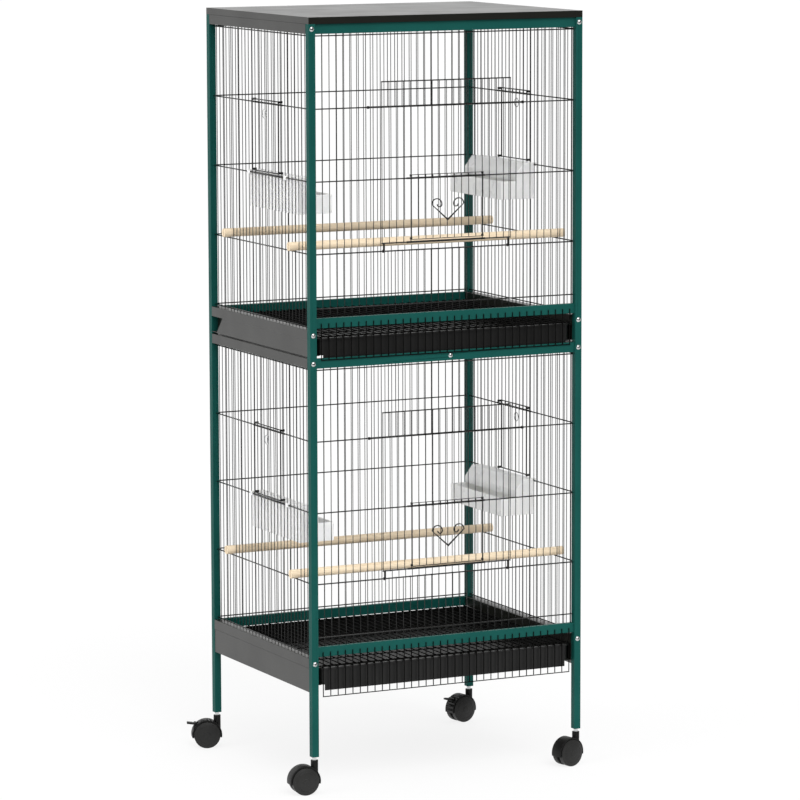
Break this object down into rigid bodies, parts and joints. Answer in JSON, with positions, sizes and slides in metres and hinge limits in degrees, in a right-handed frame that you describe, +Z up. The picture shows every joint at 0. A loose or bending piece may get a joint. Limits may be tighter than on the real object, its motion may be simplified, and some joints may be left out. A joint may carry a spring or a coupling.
{
  "type": "flight_bird_cage",
  "caption": "Tall two-tier flight bird cage with green posts, black wire panels, drop-down doors, hooded feeders, perches, slide-out trays and casters.",
  "frame": {"origin": "On the floor, under the middle of the cage between its four posts.", "axes": "+Z up, +X to the right seen from the front, +Y to the back, so the front looks along -Y."},
  "size_m": [0.6046, 0.4873, 1.4],
  "materials": {
    "green_powder_coat": "satin",
    "black_powder_coat": "satin",
    "black_wire_coat": "semi-gloss",
    "black_plastic": "gloss",
    "wheel_plastic": "gloss",
    "white_plastic": "gloss",
    "beech_dowel": "bare",
    "zinc_steel": "zinc plated"
  },
  "bodies": {
    "cage_frame": {"front_left_post": "green_powder_coat", "front_right_post": "green_powder_coat", "back_left_post": "green_powder_coat", "back_right_post": "green_powder_coat", "leg_sockets": "black_plastic", "top_cover": "black_powder_coat", "frame_bolts": "zinc_steel", "caster_stems": "zinc_steel", "lower_front_bottom_rail": "green_powder_coat", "lower_front_top_rail": "green_powder_coat", "lower_back_bottom_rail": "green_powder_coat", "lower_back_top_rail": "green_powder_coat", "lower_left_top_rail": "black_powder_coat", "lower_right_top_rail": "black_powder_coat", "lower_left_skirt_rail": "black_powder_coat", "lower_right_skirt_rail": "black_powder_coat", "lower_front_wires": "black_wire_coat", "lower_back_wires": "black_wire_coat", "lower_left_wires": "black_wire_coat", "lower_right_wires": "black_wire_coat", "lower_left_feeder": "white_plastic", "lower_right_feeder": "white_plastic", "lower_perches": "beech_dowel", "upper_front_bottom_rail": "green_powder_coat", "upper_front_top_rail": "green_powder_coat", "upper_back_bottom_rail": "green_powder_coat", "upper_back_top_rail": "green_powder_coat", "upper_left_top_rail": "black_powder_coat", "upper_right_top_rail": "black_powder_coat", "upper_left_skirt_rail": "black_powder_coat", "upper_right_skirt_rail": "black_powder_coat", "upper_front_wires": "black_wire_coat", "upper_back_wires": "black_wire_coat", "upper_left_wires": "black_wire_coat", "upper_right_wires": "black_wire_coat", "upper_left_feeder": "white_plastic", "upper_right_feeder": "white_plastic", "upper_perches": "beech_dowel"},
    "front_left_swivel": {"front_left_caster": "black_plastic"},
    "front_left_wheel_pair": {"front_left_wheels": "wheel_plastic"},
    "front_right_swivel": {"front_right_caster": "black_plastic"},
    "front_right_wheel_pair": {"front_right_wheels": "wheel_plastic"},
    "back_left_swivel": {"back_left_caster": "black_plastic"},
    "back_left_wheel_pair": {"back_left_wheels": "wheel_plastic"},
    "back_left_brake_lever": {"back_left_brake": "black_plastic"},
    "back_right_swivel": {"back_right_caster": "black_plastic"},
    "back_right_wheel_pair": {"back_right_wheels": "wheel_plastic"},
    "back_right_brake_lever": {"back_right_brake": "black_plastic"},
    "lower_tray_drawer": {"lower_tray": "black_plastic"},
    "lower_grate_drawer": {"lower_grate": "black_wire_coat"},
    "lower_drop_door": {"lower_front_door": "black_wire_coat"},
    "lower_lift_door": {"lower_small_door": "black_wire_coat"},
    "lower_left_hatch": {"lower_left_feeder_door": "black_wire_coat"},
    "lower_right_hatch": {"lower_right_feeder_door": "black_wire_coat"},
    "upper_tray_drawer": {"upper_tray": "black_plastic"},
    "upper_grate_drawer": {"upper_grate": "black_wire_coat"},
    "upper_drop_door": {"upper_front_door": "black_wire_coat"},
    "upper_lift_door": {"upper_small_door": "black_wire_coat"},
    "upper_left_hatch": {"upper_left_feeder_door": "black_wire_coat"},
    "upper_right_hatch": {"upper_right_feeder_door": "black_wire_coat"}
  },
  "joints": [
    {"name": "front_left_swivel_turn", "type": "hinge", "parent": "cage_frame", "child": "front_left_swivel", "pos_m": [-0.2685, -0.2185, 0.054], "axis": [0, 0, 1], "continuous": true},
    {"name": "front_left_wheel_roll", "type": "hinge", "parent": "front_left_swivel", "child": "front_left_wheel_pair", "pos_m": [-0.28835, -0.21606, 0.025], "axis": [-0.1219, -0.9925, 0], "continuous": true},
    {"name": "front_right_swivel_turn", "type": "hinge", "parent": "cage_frame", "child": "front_right_swivel", "pos_m": [0.2685, -0.2185, 0.054], "axis": [0, 0, 1], "continuous": true},
    {"name": "front_right_wheel_roll", "type": "hinge", "parent": "front_right_swivel", "child": "front_right_wheel_pair", "pos_m": [0.24901, -0.223, 0.025], "axis": [0.225, -0.9744, 0], "continuous": true},
    {"name": "back_left_swivel_turn", "type": "hinge", "parent": "cage_frame", "child": "back_left_swivel", "pos_m": [-0.2685, 0.2185, 0.054], "axis": [0, 0, 1], "continuous": true},
    {"name": "back_left_wheel_roll", "type": "hinge", "parent": "back_left_swivel", "child": "back_left_wheel_pair", "pos_m": [-0.28752, 0.22468, 0.025], "axis": [-0.309, -0.9511, 0], "continuous": true},
    {"name": "back_left_brake_press", "type": "hinge", "parent": "back_left_swivel", "child": "back_left_brake_lever", "pos_m": [-0.30811, 0.23137, 0.04591], "axis": [-0.309, -0.9511, 0], "range_deg": [0, 20]},
    {"name": "back_right_swivel_turn", "type": "hinge", "parent": "cage_frame", "child": "back_right_swivel", "pos_m": [0.2685, 0.2185, 0.054], "axis": [0, 0, 1], "continuous": true},
    {"name": "back_right_wheel_roll", "type": "hinge", "parent": "back_right_swivel", "child": "back_right_wheel_pair", "pos_m": [0.2488, 0.21503, 0.025], "axis": [0.1736, -0.9848, 0], "continuous": true},
    {"name": "back_right_brake_press", "type": "hinge", "parent": "back_right_swivel", "child": "back_right_brake_lever", "pos_m": [0.22748, 0.21127, 0.04591], "axis": [0.1736, -0.9848, 0], "range_deg": [0, 20]},
    {"name": "lower_tray_slide", "type": "slide", "parent": "cage_frame", "child": "lower_tray_drawer", "axis": [0, -1, 0], "range_m": [0, 0.4]},
    {"name": "lower_grate_slide", "type": "slide", "parent": "cage_frame", "child": "lower_grate_drawer", "axis": [0, -1, 0], "range_m": [0, 0.4]},
    {"name": "lower_front_door_hinge", "type": "hinge", "parent": "cage_frame", "child": "lower_drop_door", "pos_m": [0, -0.2165, 0.382], "axis": [1, 0, 0], "range_deg": [0, 110]},
    {"name": "lower_small_door_lift", "type": "slide", "parent": "lower_drop_door", "child": "lower_lift_door", "axis": [0, 0, 1], "range_m": [0, 0.1]},
    {"name": "lower_left_feeder_door_lift", "type": "slide", "parent": "cage_frame", "child": "lower_left_hatch", "axis": [0, 0, 1], "range_m": [0, 0.105]},
    {"name": "lower_right_feeder_door_lift", "type": "slide", "parent": "cage_frame", "child": "lower_right_hatch", "axis": [0, 0, 1], "range_m": [0, 0.105]},
    {"name": "upper_tray_slide", "type": "slide", "parent": "cage_frame", "child": "upper_tray_drawer", "axis": [0, -1, 0], "range_m": [0, 0.4]},
    {"name": "upper_grate_slide", "type": "slide", "parent": "cage_frame", "child": "upper_grate_drawer", "axis": [0, -1, 0], "range_m": [0, 0.4]},
    {"name": "upper_front_door_hinge", "type": "hinge", "parent": "cage_frame", "child": "upper_drop_door", "pos_m": [0, -0.2165, 0.978], "axis": [1, 0, 0], "range_deg": [0, 110]},
    {"name": "upper_small_door_lift", "type": "slide", "parent": "upper_drop_door", "child": "upper_lift_door", "axis": [0, 0, 1], "range_m": [0, 0.1]},
    {"name": "upper_left_feeder_door_lift", "type": "slide", "parent": "cage_frame", "child": "upper_left_hatch", "axis": [0, 0, 1], "range_m": [0, 0.105]},
    {"name": "upper_right_feeder_door_lift", "type": "slide", "parent": "cage_frame", "child": "upper_right_hatch", "axis": [0, 0, 1], "range_m": [0, 0.105]}
  ],
  "couplings": [
    {"joint": "lower_grate_slide", "follows": "lower_tray_slide", "ratio": 1},
    {"joint": "upper_grate_slide", "follows": "upper_tray_slide", "ratio": 1}
  ]
}
